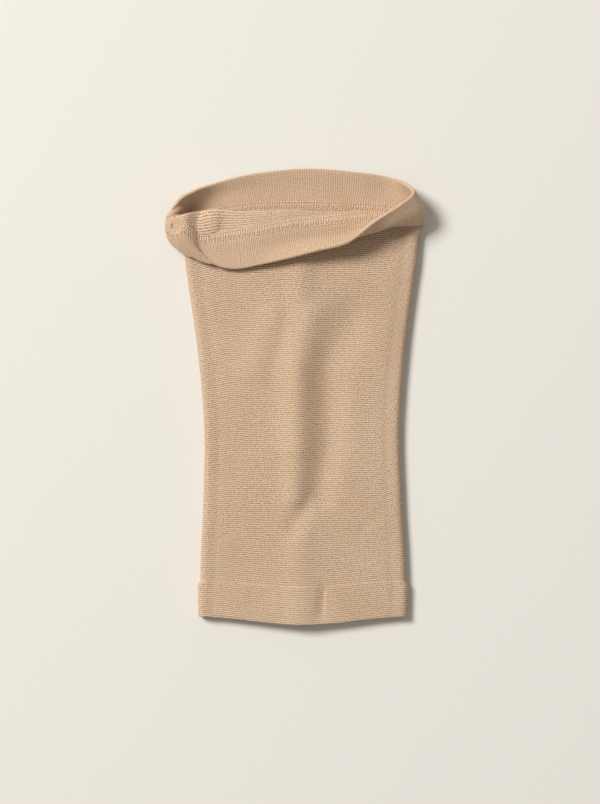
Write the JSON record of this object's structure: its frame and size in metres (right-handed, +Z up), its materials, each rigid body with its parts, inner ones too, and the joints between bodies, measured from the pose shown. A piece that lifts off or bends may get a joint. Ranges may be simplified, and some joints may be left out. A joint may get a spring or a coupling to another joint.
{
  "type": "compression sleeve",
  "caption": "Tapered knitted compression sleeve for the leg, lying flat, with a doubled hem at each end and its mouth turned down in front.",
  "frame": {"origin": "on the surface, under the middle of the sleeve's box", "axes": "+X to the right, +Y up the sleeve to the turned-down mouth, +Z up from the surface it lies on"},
  "size_m": [0.159, 0.2788, 0.0259],
  "materials": {
    "knit": "matt fine elastic knit, skin-beige, with fine courses across the tube",
    "hem": "the same knit doubled and coverstitched, with fine ribs along the tube inside"
  },
  "bodies": {
    "root": {"sleeve_body": "knit", "bottom_hem": "hem", "top_hem": "hem"}
  },
  "joints": []
}
